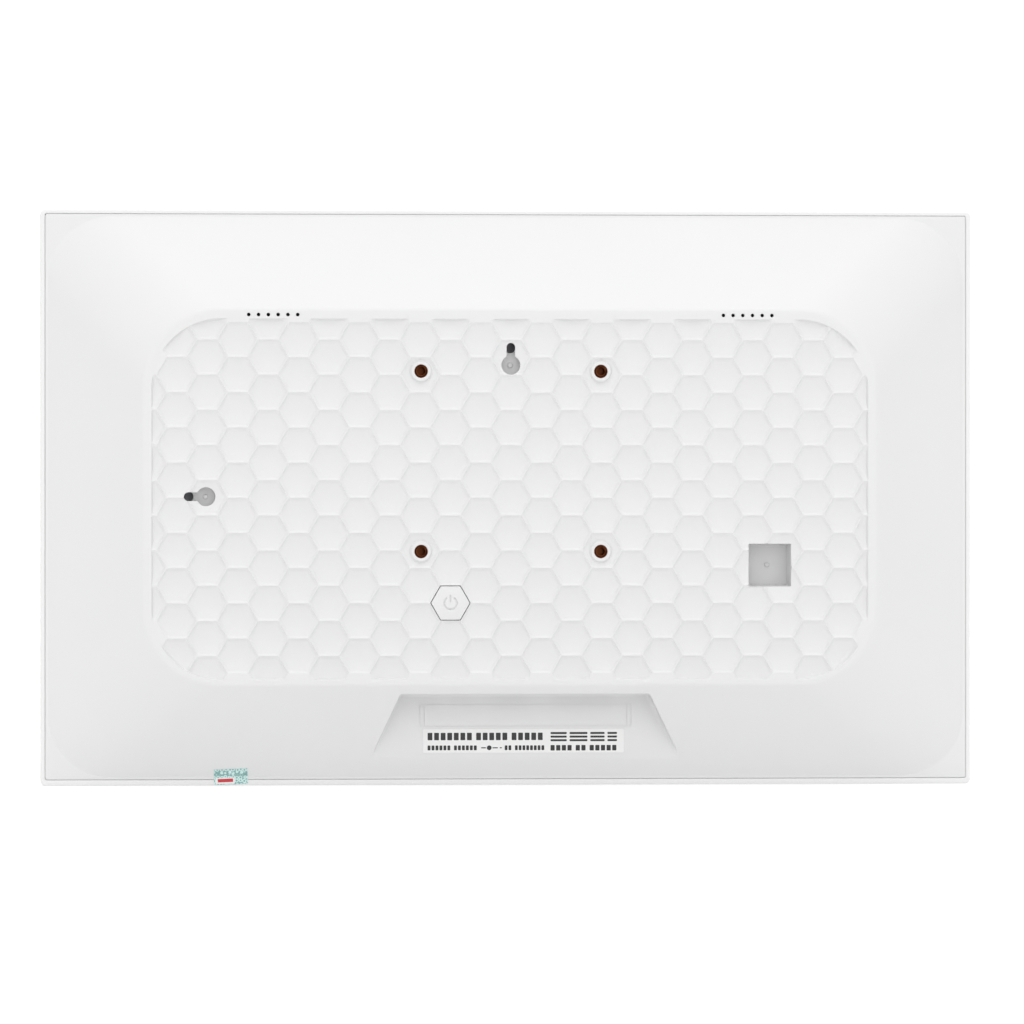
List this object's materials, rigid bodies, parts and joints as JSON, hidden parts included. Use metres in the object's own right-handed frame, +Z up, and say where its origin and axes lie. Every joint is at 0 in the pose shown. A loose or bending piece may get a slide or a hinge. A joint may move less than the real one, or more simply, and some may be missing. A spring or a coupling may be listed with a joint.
{
  "type": "digital photo frame",
  "caption": "Widescreen digital photo frame with a dimpled, domed back, a wall mount pattern, keyhole hangers, a stand socket and a hexagonal push button.",
  "frame": {"origin": "under the middle of the frame, on the plane of its bottom edge and at the middle of its depth", "axes": "+X across the screen, +Y towards the back, +Z up; the screen faces -Y"},
  "size_m": [0.39, 0.032, 0.24],
  "materials": {
    "white_plastic": "satin moulded white",
    "screen_glass": "polished black glass",
    "lcd_glass": "polarised glass",
    "foam": "closed-cell foam",
    "ivory_plastic": "moulded",
    "film": "diffusing film",
    "acrylic": "clear moulded",
    "led": "LED strip",
    "steel": "zinc-coated sheet",
    "plated_steel": "nickel plated",
    "screw_steel": "zinc plated",
    "circuit_board": "green solder mask",
    "copper_film": "polyimide film",
    "black_film": "polyester film",
    "brass": "machined brass",
    "black_plastic": "moulded",
    "chip": "moulded epoxy",
    "aluminium": "extruded",
    "paper_cone": "pressed paper",
    "wire_black": "insulated wire",
    "wire_red": "insulated wire",
    "ribbon": "flat ribbon cable",
    "label": "printed paper label",
    "sticker": "tamper-evident paper"
  },
  "bodies": {
    "case": {"front_bezel": "white_plastic", "foam_gasket": "foam", "touch_panel": "screen_glass", "lcd_cell": "lcd_glass", "lcd_mid_frame": "ivory_plastic", "optical_films": "film", "light_guide": "acrylic", "led_bar": "led", "reflector_sheet": "film", "lcd_tray": "steel", "lcd_driver_board": "circuit_board", "lcd_flex_tabs": "copper_film", "lcd_bracket_left": "steel", "lcd_bracket_right": "steel", "bracket_screws": "screw_steel", "insulation_sheet": "black_film", "rear_cover": "white_plastic", "threaded_inserts": "brass", "power_switch": "black_plastic", "mainboard": "circuit_board", "mainboard_screws": "screw_steel", "soc_chip": "chip", "memory_chips": "chip", "heatsink": "aluminium", "board_connectors": "ivory_plastic", "dc_jack": "black_plastic", "headphone_jack": "black_plastic", "usb_port": "plated_steel", "sd_card_slot": "plated_steel", "speaker_left_basket": "black_plastic", "speaker_left_cone": "paper_cone", "speaker_left_magnet": "plated_steel", "speaker_left_gasket": "foam", "speaker_right_basket": "black_plastic", "speaker_right_cone": "paper_cone", "speaker_right_magnet": "plated_steel", "speaker_right_gasket": "foam", "speaker_screws": "screw_steel", "speaker_left_wire": "wire_black", "speaker_right_wire": "wire_red", "screen_cable": "ribbon", "backlight_wire": "wire_red", "wifi_antenna": "copper_film", "antenna_wire": "wire_black", "rating_label": "label", "tamper_sticker": "sticker"},
    "button": {"power_button": "white_plastic"},
    "plunger": {"switch_plunger": "black_plastic"}
  },
  "joints": [
    {"name": "button_press", "type": "slide", "parent": "case", "child": "button", "axis": [0, -1, 0], "range_m": [0, 0.0005], "stiffness_N_per_m": 1500, "springref_m": -0.0003},
    {"name": "plunger_press", "type": "slide", "parent": "case", "child": "plunger", "axis": [0, -1, 0], "range_m": [0, 0.0005]}
  ],
  "couplings": [
    {"joint": "plunger_press", "follows": "button_press", "ratio": 1}
  ]
}
